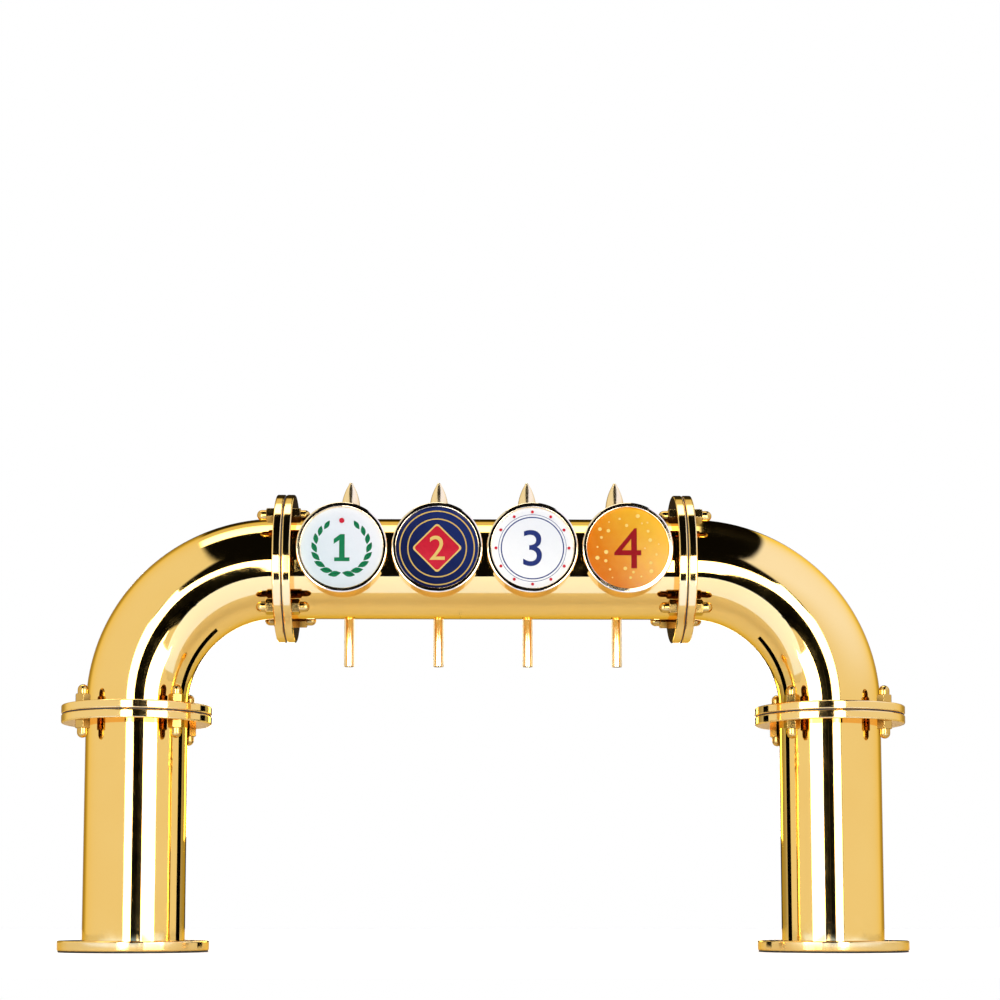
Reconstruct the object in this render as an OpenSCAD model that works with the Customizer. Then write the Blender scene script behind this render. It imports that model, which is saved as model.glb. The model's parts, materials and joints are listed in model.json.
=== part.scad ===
// Bridge beer tower: two flanged pipe legs, two elbows and a crossbar with four taps and four lit medallions.
// Millimetres, +Z up. The origin is on the counter, midway between the legs.
// The customer stands on the -Y side, the bartender and the taps are on the +Y side.

/* [Pipe bridge] */
// Outside diameter of the leg, elbow and crossbar tube
tube_d = 101.6; // [98:0.2:106]
// Wall of that tube
tube_wall = 2; // [1.5:0.25:3]
// Height of the joint at the top of each leg
leg_h = 237; // [180:1:360]
// Bend radius of the elbows, on the tube's axis
elbow_r = 140; // [115:1:180]
// How far a tube stops short of the joint face of the flange that it is welded into
weld_setback = 1; // [0.5:0.25:2]

/* [Flanges] */
// Thickness of each joint flange
flange_t = 8.5; // [6:0.5:11]
// Thickness of the base flanges
base_t = 10; // [8:0.5:14]
// Rounding of the flanges' rims
rim_r = 1.5; // [0.5:0.25:2.5]
// Straight tube left between a joint flange and the start of the bend
weld_land = 1; // [0.5:0.5:5]
// Thickness of the gasket in each joint
gasket_t = 1; // [0.5:0.25:2]
// Thickness of the rubber ring under each base flange
foot_t = 1.5; // [1:0.25:3]
// How far the rubber rings stay inside the flanges' rims
gasket_inset = 1; // [0.5:0.25:2]

/* [Flange bolts] */
// Diameter of the joint studs
stud_d = 8; // [6:0.5:9]
// Clearance round a stud in its hole
hole_clear = 0.5; // [0.25:0.25:1]
// Width across the flats of the acorn nuts
nut_af = 14; // [12:0.5:15]
// Height of an acorn nut's hexagon
nut_hex_h = 8; // [6:0.5:9]
// Height of an acorn nut with its dome
nut_h = 17.5; // [15:0.5:20]
// Wall of an acorn nut's dome round its stud
dome_wall = 1.3; // [1:0.1:1.4]
// Length of stud inside each acorn nut
stud_in_nut = 9; // [6:0.5:10]
// Room left past a stud's end in its nut
nut_void = 1; // [0.5:0.5:2]
// Gap between the tube and the corners of the nuts
nut_gap = 6.1; // [5:0.1:9]
// Distance from the bolt circle to the flanges' rims
bolt_edge = 10; // [9.5:0.5:14]
// Diameter of the holes for the bolts through the counter
anchor_hole_d = 11; // [10.5:0.5:13]
// How far inside its flats the turned end of a hexagon starts
hex_turn = 0.4; // [0.2:0.1:0.6]

/* [Medallions] */
// Outside diameter of a medallion's can and bezel
med_d = 90; // [84:1:100]
// Gap between neighbouring medallions
med_gap = 4; // [3:0.5:20]
// Gap between an outer medallion and the crossbar's flange
end_gap = 5; // [4:0.5:30]
// Height of the medallions' centres above the crossbar's axis
med_raise = 10; // [6:0.5:11]
// How far the bezels stand off the crossbar
med_stand = 19; // [17:0.5:26]
// Distance from the crossbar's axis to the back of the cans
can_back = 22; // [16:0.5:28]
// Wall of the cans
can_wall = 2; // [1.5:0.25:3]
// Thickness of the cans' floors
floor_t = 4; // [3:0.25:5]
// How deep the crossbar sinks into a can's floor
floor_sink = 1.3; // [1:0.1:1.6]
// Depth of a bezel
bezel_h = 3.6; // [3.4:0.1:6]
// Radius of the outer round of a bezel
bezel_round = 1.6; // [1:0.1:1.6]
// Radius of the inner edge of a bezel
bezel_edge = 0.5; // [0.3:0.1:0.8]
// Thickness of a medallion's face
face_t = 2.5; // [2:0.25:4]
// Clearance round a face in its can
face_clear = 0.2; // [0.1:0.05:0.4]
// Length of bezel that reaches into a can
spigot_h = 1; // [0.5:0.25:2]
// Width of the ledge that carries a face
ledge_w = 2.5; // [2:0.25:4]
// Thickness of the light boards
board_t = 1.6; // [1:0.2:2.4]
// Gap between a light board and its can
board_gap = 2.5; // [1:0.5:5]
// Diameter of the nipples that hold the cans
nipple_d = 10; // [8:0.5:12]
// Wall of the nipples
nipple_wall = 1.5; // [1:0.25:3]
// How far the nipples' heads stand out round them
nipple_head_w = 3; // [2:0.5:6]
// Thickness of the nipples' heads
nipple_head_t = 2; // [1.5:0.25:3]
// Width across the flats of the nipple nuts
nipple_nut_af = 17; // [15:0.5:19]
// Thickness of the nipple nuts
nipple_nut_t = 5; // [4:0.5:7]

/* [Shanks] */
// Diameter of the tap shanks
shank_d = 16; // [15:0.5:18]
// Bore of the shanks
shank_bore = 8; // [6:0.5:10]
// Width of the saddle collars round the shanks, outside the crossbar
collar_w = 7; // [5:0.5:10]
// Thickness of the saddle collars
collar_t = 5; // [4:0.5:8]
// Clearance round the shanks and nipples in the crossbar
wall_clear = 0.25; // [0.1:0.05:0.5]
// Thickness of the saddle washers inside the crossbar, at their middle
washer_t = 3.3; // [3:0.1:5]
// Width of the saddle washers' rings
washer_w = 4.5; // [3:0.25:6]
// Width across the flats of the shank nuts
shank_nut_af = 24; // [22:0.5:27]
// Thickness of the shank nuts
shank_nut_t = 6; // [5:0.5:9]
// Length of thread left past a nut
thread_end = 2; // [1:0.5:4]
// Thickness of the lip that the coupling nuts pull on
lip_t = 2.5; // [2:0.25:4]
// Thickness of the coupling nuts' shoulders
shoulder_t = 3; // [2:0.25:5]
// Gap between a coupling nut and its collar
couple_gap = 0.5; // [0.3:0.1:1.5]
// Wall of the coupling nuts at their flats
couple_wall = 3.5; // [2:0.25:6]
// Length of thread in the coupling nuts
couple_grip = 8; // [6:0.5:9]

/* [Tap bodies] */
// Wall of the tap bodies' barrels round the chamber
barrel_wall = 3.5; // [2.5:0.25:5]
// Room round a valve head in its chamber
chamber_clear = 0.8; // [0.4:0.1:2]
// Room for a plunger's guide to pass through its valve seat
pass_clear = 0.5; // [0.3:0.1:1]
// Length of barrel between a valve seat and the spout's bore
seat_land = 3.6; // [3:0.2:8]
// Thickness of the barrels' closed noses
nose_t = 4; // [3:0.25:6]
// Rounding of the noses
nose_r = 4; // [2:0.5:6]
// Wall of the necks that carry the levers
neck_wall = 4.1; // [3:0.1:6]
// Wall of the sockets that carry the spouts
socket_wall = 3.1; // [2:0.1:5]
// Depth of the sockets below the barrels' axes
socket_h = 17; // [15:0.5:24]
// Length of spout inside its socket
spout_in = 7; // [4:0.5:8]
// Outside diameter of the spouts
spout_d = 10.8; // [10:0.2:13]
// Wall of the spouts
spout_wall = 1.2; // [0.8:0.1:1.6]
// How far the spouts reach below the crossbar's axis
spout_reach = 90; // [70:1:130]
// Width of the bonnets outside their necks
bonnet_wall = 2.5; // [2:0.25:4]
// Length of thread between a bonnet and its neck
bonnet_grip = 4.5; // [4:0.25:8]
// Height of the bonnets above their necks
bonnet_top = 6.6; // [6:0.2:9]
// Rounding of the bonnets' tops
bonnet_round = 3; // [1:0.5:4]

/* [Levers] */
// Largest pull of a lever, in degrees
lever_pull = 30; // [15:1:35]
// Diameter of the balls
ball_d = 14; // [12:0.5:14.5]
// Diameter of the trunnions
trunnion_d = 4; // [3:0.25:4.5]
// Wall left outside the trunnions
trunnion_wall = 1.2; // [0.8:0.1:1.4]
// Diameter of the arms below the balls
arm_d = 3.4; // [2.6:0.1:3.6]
// Diameter of the arms' ball tips
tip_d = 4; // [3.6:0.1:4.6]
// Height of the tips above the barrels' axes
tip_h = 2; // [1.6:0.1:2.4]
// Diameter of the stems above the balls
stem_d = 7; // [6:0.25:8]
// Width across the flats of the lock nuts under the knobs
lock_af = 12; // [11:0.5:14]
// Thickness of the lock nuts
lock_t = 5; // [4:0.5:7]
// Diameter of the threads in the knobs
knob_thread_d = 6; // [5:0.5:6]
// Length of thread in the knobs
knob_thread = 13; // [9:0.5:18]
// Height of the knobs' lower ends above the barrels' axes
knob_foot_h = 34; // [32:0.5:40]
// Height of the knobs' widest places above the barrels' axes
knob_wide_h = 80; // [70:1:86]
// Height of the knobs' points above the barrels' axes
knob_tip_h = 110; // [100:1:130]
// Diameter of the knobs at their widest
knob_d = 20; // [18:0.5:26]
// Diameter of the knobs at their lower ends
knob_foot_d = 12; // [11:0.5:15]
// Diameter of the knobs' blunt points
knob_tip_d = 4.6; // [3.6:0.2:6]

/* [Plungers] */
// Diameter of the plungers' guides
guide_d = 9; // [8.5:0.1:10]
// Diameter of the plungers' stems
plunger_stem_d = 5; // [4:0.25:6]
// How far the valve heads overlap their seats
head_lap = 1.2; // [0.8:0.1:2]
// Thickness of the valve heads
head_t = 3; // [2:0.25:5]
// Rear land of a guide, behind the lever's slot
land_rear = 2.6; // [2:0.2:4]
// Front land of a guide, ahead of the lever's slot
land_front = 5.4; // [4:0.2:8]
// Clearance of a lever's tip in its slot
slot_clear = 0.6; // [0.5:0.05:0.8]
// How far above a tip's centre the guide is cut flat round its slot
notch_over = 0.4; // [0.2:0.1:0.8]

/* [Beer lines] */
// Outside diameter of the beer lines
line_d = 9.5; // [8:0.5:11]
// Bore of the beer lines
line_bore = 6.4; // [5:0.2:6.8]
// Wall of the hose tails in the lines
tail_wall = 1; // [0.6:0.1:1.2]
// Length of the hose tails
tail_len = 8; // [6:0.5:12]
// Wall at the shanks' inner ends that carries the hose tails
tail_web = 2; // [1.5:0.5:4]
// Straight line past the end of a hose tail
line_lead = 1; // [0.5:0.5:4]
// Bend radius of the lines behind the taps
line_bend = 18; // [14:1:24]
// Distance between the two lines in a leg
lane_gap = 20; // [14:1:24]
// Height of the lines' lower ends above the counter
line_end = 3; // [2:0.5:20]
// Width of the hose clamps
clamp_w = 5; // [4:0.5:6]
// Distance from a clamp to the shank's end
clamp_gap = 1; // [0.5:0.25:2]
// Thickness of the hose clamps
clamp_t = 0.8; // [0.5:0.1:1.2]

/* [Fits] */
// Running clearance of the guides and trunnions
run_clear = 0.05; // [0.02:0.01:0.08]
// Gap between faces that move against each other
move_gap = 0.4; // [0.35:0.05:0.5]

/* [Hidden] */
$fn = 96;
// Steps in a full turn of the knobs' long arcs
LONG_ARC = 900;
// Overlap of a cut past the face that it opens
cut = 1;
TAPS = [1, 2, 3, 4];
LEFT = -1;
RIGHT = 1;
BOLT_ANGLES = [45, 135, 225, 315];
// Slope of the turned ends of the hexagons
HEX_SLOPE = 30;

// Tube and flanges
tube_r = tube_d / 2;
tube_ri = tube_r - tube_wall;
nut_corner_r = nut_af / sqrt(3);
bolt_r = tube_r + nut_gap + nut_corner_r;
flange_r = bolt_r + bolt_edge;
hole_r = stud_d / 2 + hole_clear;
half_gasket = gasket_t / 2;
tube_end = half_gasket + weld_setback;
elbow_straight = half_gasket + flange_t + weld_land;
base_top = foot_t + base_t;

// Row of taps, and the bridge that carries it
tap_pitch = med_d + med_gap;
bar_len = 3 * tap_pitch + med_d + 2 * (end_gap + flange_t + half_gasket);
joint_x = bar_len / 2;
bend_x = joint_x + elbow_straight;
leg_x = bend_x + elbow_r;
bend_z = leg_h + elbow_straight;
bar_z = bend_z + elbow_r;
function tap_x(i) = (i - 2.5) * tap_pitch;

// Medallions: distances forward of the crossbar's axis
med_r = med_d / 2;
med_front = tube_r + med_stand;
can_front = med_front - bezel_h;
face_front = can_front - spigot_h;
face_seat = face_front - face_t;
floor_back = tube_r - floor_sink;
floor_front = floor_back + floor_t;
recess_r = med_r - can_wall;
light_r = recess_r - ledge_w;
bezel_in_r = light_r + bezel_edge;
bezel_out_r = med_r - bezel_round;
nipple_r = nipple_d / 2;

// Shanks: distances behind the crossbar's axis
washer_in = tube_ri - washer_t;
nipple_end = washer_in - nipple_nut_t - thread_end;
shank_r = shank_d / 2;
shank_end = washer_in - shank_nut_t - thread_end;
collar_face = tube_r + collar_t;
lip_back = collar_face + couple_gap + shoulder_t;
tap_face = lip_back + lip_t;

// Tap bodies: radii from the plunger outwards
guide_r = guide_d / 2;
bore_r = guide_r + run_clear;
seat_r = guide_r + pass_clear;
head_r = seat_r + head_lap;
chamber_r = head_r + chamber_clear;
barrel_r = chamber_r + barrel_wall;
lip_r = barrel_r - wall_clear;
couple_af = 2 * (barrel_r + couple_wall);

// Levers: heights above the barrels' axes
trunnion_r = trunnion_d / 2;
skirt_z = barrel_r + move_gap;
neck_top = skirt_z + bonnet_grip;
pivot_h = neck_top - trunnion_r - move_gap;
arm_len = pivot_h - tip_h;
travel = arm_len * lever_pull * PI / 180;

// Tap bodies: distances behind the crossbar's axis
chamber_len = head_t + travel + 2 * move_gap;
seat_y = tap_face + chamber_len;
spout_r = spout_d / 2;
spout_ri = spout_r - spout_wall;
spout_y = seat_y + seat_land + spout_ri;
guide_rear = spout_y + spout_ri + travel + move_gap;
slot_half = tip_d / 2 + slot_clear;
lever_y = guide_rear + land_rear + slot_half;
guide_front = lever_y + slot_half + land_front;
bore_end = guide_front + move_gap;
nose_y = bore_end + nose_t;
neck_floor = tip_h + tip_d / 2 - move_gap;
ball_r = ball_d / 2;
neck_bore_r = max(ball_r, arm_len * sin(lever_pull) + tip_d / 2) + move_gap;
neck_r = neck_bore_r + neck_wall;
trunnion_end = neck_r - trunnion_wall;
bonnet_r = neck_r + bonnet_wall;
bonnet_z = neck_top + bonnet_top;
stem_r = stem_d / 2;
slot_r = stem_r + move_gap;
slot_run = (bonnet_z - pivot_h) * tan(lever_pull) + stem_r / cos(lever_pull) - stem_r;

// Knobs: arcs that pass through the widest place with an upright tangent
knob_r = knob_d / 2;
knob_tip_r = knob_tip_d / 2;
knob_tip_z = knob_tip_h - knob_tip_r;
function arc_r(rise, fall) = (rise * rise + fall * fall) / (2 * fall);
upper_arc_r = arc_r(knob_tip_z - knob_wide_h, knob_r - knob_tip_r);
lower_arc_r = arc_r(knob_wide_h - knob_foot_h, knob_r - knob_foot_d / 2);

// Beer lines
line_r = line_d / 2;
line_ri = line_bore / 2;
lane_outer = shank_end - tail_len - line_lead - line_bend;
function lane(i) = (i == 1 || i == 4) ? lane_outer : lane_outer - lane_gap;
function line_side(i) = i < 2.5 ? LEFT : RIGHT;

SIDES = [[LEFT, "left"], [RIGHT, "right"]];
SIDE_NODES = ["base_gasket", "base_flange", "leg_tube", "leg_flange", "elbow_tube", "elbow_lower_flange",
    "elbow_upper_flange", "bar_flange", "beer_lines"];
TAP_NODES = ["medallion_can", "medallion_bezel", "medallion_face", "tap_body", "tap_plunger", "tap_lever",
    "tap_knob"];
SHARED_NODES = ["crossbar_tube", "joint_gaskets", "joint_studs", "acorn_nuts", "light_boards", "can_nipples",
    "nipple_nuts", "saddle_washers", "tap_shanks", "shank_nuts", "coupling_nuts", "tap_spouts", "tap_bonnets",
    "hose_clamps"];

GOLD = "gold";
PALE_GOLD = "khaki";
RUBBER = "dimgray";
STEEL = "silver";
FACES = ["aliceblue", "midnightblue", "white", "orange"];

// Turns Z into +Y, the way that the taps point
module to_back() {
    rotate([-90, 0, 0]) children();
}

// Turns Z into -Y, the way that the medallions face, with Y turned up
module to_front() {
    rotate([90, 0, 0]) children();
}

module to_right() {
    rotate([0, 90, 0]) children();
}

module at_tap(i) {
    translate([tap_x(i), 0, bar_z]) children();
}

// A leg joint's frame: Z points up to the elbow
module at_leg_joint(side) {
    translate([side * leg_x, 0, leg_h]) children();
}

// A crossbar joint's frame: Z points out to the elbow
module at_bar_joint(side) {
    translate([side * joint_x, 0, bar_z]) rotate([0, side * 90, 0]) children();
}

module on_side(side) {
    mirror([side < 0 ? 1 : 0, 0, 0]) children();
}

module ring(r_out, r_in) {
    difference() {
        circle(r_out);
        circle(r_in);
    }
}

module pipe(r_out, r_in, h) {
    linear_extrude(h) ring(r_out, r_in);
}

// A quarter bend in the XZ plane, from +X up to +Z
module quarter_bend(bend_r, r_out, r_in) {
    rotate([90, 0, 0]) rotate_extrude(angle = 90) translate([bend_r, 0]) ring(r_out, r_in);
}

module bolt_holes(r, h) {
    for (a = BOLT_ANGLES) {
        rotate(a) translate([bolt_r, 0, -cut]) cylinder(r = r, h = h + 2 * cut);
    }
}

// Hexagon with the corners of its upper end turned off
module hex_block(af, h) {
    corner_r = af / sqrt(3);
    reach = corner_r + cut;
    flat_r = af / 2 - hex_turn;
    intersection() {
        cylinder(r = corner_r, h = h, $fn = 6);
        rotate_extrude() polygon([[0, -cut], [reach, -cut], [reach, h - (reach - flat_r) * tan(HEX_SLOPE)],
            [flat_r, h], [0, h]]);
    }
}

module hex_nut(af, r_in, h) {
    difference() {
        hex_block(af, h);
        translate([0, 0, -cut]) cylinder(r = r_in, h = h + 2 * cut);
    }
}

// The crossbar as a solid bar, to cut saddles with
module bar_cut() {
    to_right() cylinder(r = tube_r, h = 2 * bar_len, center = true);
}

// Round plate with rounded rims, welded round the tube
module flange(t, bolt_hole_r) {
    difference() {
        rotate_extrude() {
            translate([tube_r, 0]) square([flange_r - rim_r - tube_r, t]);
            translate([tube_r, rim_r]) square([flange_r - tube_r, t - 2 * rim_r]);
            translate([flange_r - rim_r, rim_r]) circle(rim_r);
            translate([flange_r - rim_r, t - rim_r]) circle(rim_r);
        }
        bolt_holes(bolt_hole_r, t);
    }
}

module gasket(t, bolt_hole_r) {
    difference() {
        pipe(flange_r - gasket_inset, tube_ri, t);
        bolt_holes(bolt_hole_r, t);
    }
}

module base_gasket(side) {
    color(RUBBER) translate([side * leg_x, 0, 0]) gasket(foot_t, anchor_hole_d / 2);
}

module base_flange(side) {
    color(GOLD) translate([side * leg_x, 0, foot_t]) flange(base_t, anchor_hole_d / 2);
}

module leg_tube(side) {
    leg_foot = foot_t + weld_setback;
    color(GOLD) translate([side * leg_x, 0, leg_foot]) pipe(tube_r, tube_ri, leg_h - tube_end - leg_foot);
}

module leg_flange(side) {
    color(GOLD) at_leg_joint(side) translate([0, 0, -half_gasket - flange_t]) flange(flange_t, hole_r);
}

module elbow_tube(side) {
    stub = elbow_straight - tube_end;
    color(GOLD) on_side(side) {
        translate([leg_x, 0, leg_h + tube_end]) pipe(tube_r, tube_ri, stub);
        translate([joint_x + tube_end, 0, bar_z]) to_right() pipe(tube_r, tube_ri, stub);
        translate([bend_x, 0, bend_z]) quarter_bend(elbow_r, tube_r, tube_ri);
    }
}

module elbow_lower_flange(side) {
    color(GOLD) at_leg_joint(side) translate([0, 0, half_gasket]) flange(flange_t, hole_r);
}

module elbow_upper_flange(side) {
    color(GOLD) at_bar_joint(side) translate([0, 0, half_gasket]) flange(flange_t, hole_r);
}

module bar_flange(side) {
    color(GOLD) at_bar_joint(side) translate([0, 0, -half_gasket - flange_t]) flange(flange_t, hole_r);
}

module crossbar_tube() {
    half = joint_x - tube_end;
    color(GOLD) difference() {
        translate([-half, 0, bar_z]) to_right() pipe(tube_r, tube_ri, 2 * half);
        for (i = TAPS) {
            at_tap(i) to_back() cylinder(r = shank_r + wall_clear, h = 2 * tube_r);
            at_tap(i) to_front() cylinder(r = nipple_r + wall_clear, h = 2 * tube_r);
        }
    }
}

// Every place where a joint needs its gasket, studs and nuts
module at_joints() {
    for (side = [LEFT, RIGHT]) {
        at_leg_joint(side) children();
        at_bar_joint(side) children();
    }
}

module joint_gaskets() {
    color(RUBBER) at_joints() translate([0, 0, -half_gasket]) gasket(gasket_t, hole_r);
}

module joint_studs() {
    half = half_gasket + flange_t + stud_in_nut;
    color(PALE_GOLD) at_joints() for (a = BOLT_ANGLES) {
        rotate(a) translate([bolt_r, 0, 0]) cylinder(d = stud_d, h = 2 * half, center = true);
    }
}

module acorn_nut() {
    dome_r = stud_d / 2 + dome_wall;
    difference() {
        union() {
            hex_block(nut_af, nut_hex_h);
            rotate_extrude() {
                square([dome_r, nut_h - dome_r]);
                intersection() {
                    translate([0, nut_h - dome_r]) circle(dome_r);
                    square([dome_r, nut_h]);
                }
            }
        }
        translate([0, 0, -cut]) cylinder(d = stud_d, h = cut + stud_in_nut + nut_void);
    }
}

module acorn_nuts() {
    color(PALE_GOLD) at_joints() for (a = BOLT_ANGLES, turn = [0, 180]) {
        rotate(a) translate([bolt_r, 0, 0]) rotate([turn, 0, 0])
            translate([0, 0, half_gasket + flange_t]) acorn_nut();
    }
}

// Drum with a light box in front and a skirt behind that sits on the crossbar
module medallion_can(i) {
    color(GOLD) at_tap(i) to_front() difference() {
        translate([0, med_raise, can_back]) cylinder(r = med_r, h = can_front - can_back);
        translate([0, med_raise, face_seat]) cylinder(r = recess_r, h = med_front);
        translate([0, med_raise, floor_front]) cylinder(r = light_r, h = med_front);
        translate([0, med_raise, can_back + can_wall])
            cylinder(r = recess_r, h = floor_back - can_back - can_wall);
        bar_cut();
        cylinder(r = nipple_r + wall_clear, h = med_front);
    }
}

// Ring with a flat front, and a spigot behind that holds the face on its ledge
module medallion_bezel(i) {
    color(GOLD) at_tap(i) to_front() translate([0, med_raise, 0]) rotate_extrude() {
        translate([light_r, face_front]) square([ledge_w, spigot_h + bezel_h - bezel_edge]);
        translate([bezel_in_r, can_front]) square([bezel_out_r - bezel_in_r, bezel_h]);
        translate([bezel_out_r, can_front]) square([bezel_round, bezel_h - bezel_round]);
        translate([bezel_in_r, med_front - bezel_edge]) circle(bezel_edge);
        translate([bezel_out_r, med_front - bezel_round]) circle(bezel_round);
    }
}

module medallion_face(i) {
    color(FACES[i - 1]) at_tap(i) to_front() translate([0, med_raise, face_seat])
        cylinder(r = recess_r - face_clear, h = face_t);
}

module light_boards() {
    color("seagreen") for (i = TAPS) {
        at_tap(i) to_front() difference() {
            translate([0, med_raise, floor_front]) cylinder(r = light_r - board_gap, h = board_t);
            cylinder(r = nipple_r + nipple_head_w + hole_clear, h = med_front);
        }
    }
}

// Hollow threaded stem that holds a can, with its head on the can's floor
module can_nipples() {
    color(STEEL) for (i = TAPS) {
        at_tap(i) to_front() difference() {
            union() {
                translate([0, 0, nipple_end]) cylinder(r = nipple_r, h = floor_front - nipple_end);
                translate([0, 0, floor_front]) cylinder(r = nipple_r + nipple_head_w, h = nipple_head_t);
            }
            cylinder(r = nipple_r - nipple_wall, h = med_front);
        }
    }
}

module nipple_nuts() {
    color(STEEL) for (i = TAPS) {
        at_tap(i) to_front() translate([0, 0, washer_in - nipple_nut_t])
            hex_nut(nipple_nut_af, nipple_r, nipple_nut_t);
    }
}

// Ring that is flat for a nut and round for the inside of the crossbar
module saddle_washer(r_in) {
    intersection() {
        translate([0, 0, washer_in]) pipe(r_in + wall_clear + washer_w, r_in + wall_clear, washer_t + cut);
        to_right() cylinder(r = tube_ri, h = bar_len, center = true);
    }
}

module saddle_washers() {
    color(STEEL) for (i = TAPS) {
        at_tap(i) to_front() saddle_washer(nipple_r);
        at_tap(i) to_back() saddle_washer(shank_r);
    }
}

// Threaded tube through the crossbar's back wall, with a saddle collar outside and a hose tail inside
module tap_shanks() {
    color(STEEL) for (i = TAPS) {
        at_tap(i) to_back() difference() {
            union() {
                translate([0, 0, shank_end]) cylinder(r = shank_r, h = tap_face - shank_end);
                translate([0, 0, lip_back]) cylinder(r = lip_r, h = lip_t);
                translate([0, 0, shank_end - tail_len]) cylinder(r = line_ri, h = tail_len + cut);
                difference() {
                    translate([0, 0, washer_in])
                        cylinder(r = shank_r + collar_w, h = collar_face - washer_in);
                    bar_cut();
                }
            }
            translate([0, 0, shank_end + tail_web]) cylinder(d = shank_bore, h = tap_face);
            cylinder(r = line_ri - tail_wall, h = tap_face);
        }
    }
}

module shank_nuts() {
    color(STEEL) for (i = TAPS) {
        at_tap(i) to_back() translate([0, 0, washer_in - shank_nut_t])
            hex_nut(shank_nut_af, shank_r, shank_nut_t);
    }
}

module coupling_nuts() {
    shoulder = lip_back - shoulder_t;
    color(GOLD) for (i = TAPS) {
        at_tap(i) to_back() difference() {
            translate([0, 0, shoulder]) hex_block(couple_af, shoulder_t + lip_t + couple_grip);
            translate([0, 0, shoulder - cut]) cylinder(r = shank_r + wall_clear, h = shoulder_t + 2 * cut);
            translate([0, 0, lip_back]) cylinder(r = barrel_r, h = lip_t + couple_grip + cut);
        }
    }
}

// Barrel with a blunt rounded nose
module barrel() {
    rotate_extrude() {
        translate([0, tap_face]) square([barrel_r, nose_y - nose_r - tap_face]);
        translate([0, nose_y - nose_r]) square([barrel_r - nose_r, nose_r]);
        intersection() {
            translate([barrel_r - nose_r, nose_y - nose_r]) circle(nose_r);
            translate([barrel_r - nose_r, nose_y - nose_r]) square(nose_r);
        }
    }
}

// Open-topped grooves that the lever's trunnions drop into
module trunnion_grooves() {
    groove_r = trunnion_r + run_clear;
    groove = trunnion_end + move_gap;
    translate([-groove, 0, 0]) to_right() cylinder(r = groove_r, h = 2 * groove);
    translate([-groove, -groove_r, 0]) cube([2 * groove, 2 * groove_r, neck_top]);
}

module tap_body(i) {
    color(GOLD) at_tap(i) difference() {
        union() {
            to_back() barrel();
            translate([0, lever_y, 0]) cylinder(r = neck_r, h = neck_top);
            translate([0, spout_y, -socket_h]) cylinder(r = spout_r + socket_wall, h = socket_h);
        }
        to_back() translate([0, 0, tap_face - cut]) cylinder(r = chamber_r, h = chamber_len + cut);
        to_back() translate([0, 0, seat_y - cut]) cylinder(r = seat_r, h = spout_y - seat_y + cut);
        to_back() translate([0, 0, seat_y]) cylinder(r = bore_r, h = bore_end - seat_y);
        translate([0, lever_y, neck_floor]) cylinder(r = neck_bore_r, h = neck_top);
        translate([0, lever_y, pivot_h]) trunnion_grooves();
        translate([0, spout_y, -socket_h - cut]) cylinder(r = spout_r, h = spout_in + cut);
        translate([0, spout_y, -socket_h]) cylinder(r = spout_ri, h = socket_h);
    }
}

module tap_spouts() {
    top = -socket_h + spout_in;
    color(GOLD) for (i = TAPS) {
        at_tap(i) translate([0, spout_y, -spout_reach]) pipe(spout_r, spout_ri, spout_reach + top);
    }
}

// Screwed cap that keeps a lever in its grooves, with a slot for the lever's stem
module tap_bonnets() {
    color(GOLD) for (i = TAPS) {
        at_tap(i) translate([0, lever_y, 0]) difference() {
            rotate_extrude() {
                translate([0, skirt_z]) square([bonnet_r, bonnet_z - bonnet_round - skirt_z]);
                translate([0, skirt_z]) square([bonnet_r - bonnet_round, bonnet_z - skirt_z]);
                translate([bonnet_r - bonnet_round, bonnet_z - bonnet_round]) circle(bonnet_round);
            }
            cylinder(r = neck_r, h = neck_top);
            translate([0, 0, pivot_h]) sphere(ball_r + move_gap);
            translate([0, 0, pivot_h]) linear_extrude(bonnet_z) {
                circle(slot_r);
                translate([0, slot_run]) circle(slot_r);
                translate([-slot_r, 0]) square([2 * slot_r, slot_run]);
            }
        }
    }
}

// Spool that the lever slides back to open the valve
module tap_plunger(i) {
    head_y = seat_y - move_gap - head_t;
    slot_w = tip_d + 2 * slot_clear;
    color(STEEL) at_tap(i) difference() {
        to_back() union() {
            translate([0, 0, head_y]) cylinder(r = head_r, h = head_t);
            translate([0, 0, head_y]) cylinder(d = plunger_stem_d, h = guide_rear - head_y);
            translate([0, 0, guide_rear]) cylinder(r = guide_r, h = guide_front - guide_rear);
        }
        translate([-guide_d, lever_y - slot_half - land_rear / 2, tip_h + notch_over])
            cube([2 * guide_d, 2 * slot_half + land_rear / 2 + land_front / 2, guide_d]);
        translate([-slot_w / 2, lever_y - slot_half, tip_h - slot_half])
            cube([slot_w, 2 * slot_half, guide_d]);
    }
}

// Lever with its ball, trunnions, lower arm, stem and the lock nut under the knob
module tap_lever(i) {
    color(GOLD) at_tap(i) translate([0, lever_y, 0]) {
        translate([0, 0, pivot_h]) sphere(ball_r);
        translate([-trunnion_end, 0, pivot_h]) to_right() cylinder(r = trunnion_r, h = 2 * trunnion_end);
        translate([0, 0, tip_h]) sphere(tip_d / 2);
        translate([0, 0, tip_h]) cylinder(d = arm_d, h = arm_len);
        translate([0, 0, pivot_h]) cylinder(r = stem_r, h = knob_foot_h - pivot_h);
        translate([0, 0, knob_foot_h - lock_t]) hex_block(lock_af, lock_t);
        translate([0, 0, knob_foot_h - cut]) cylinder(d = knob_thread_d, h = knob_thread + cut);
    }
}

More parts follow.
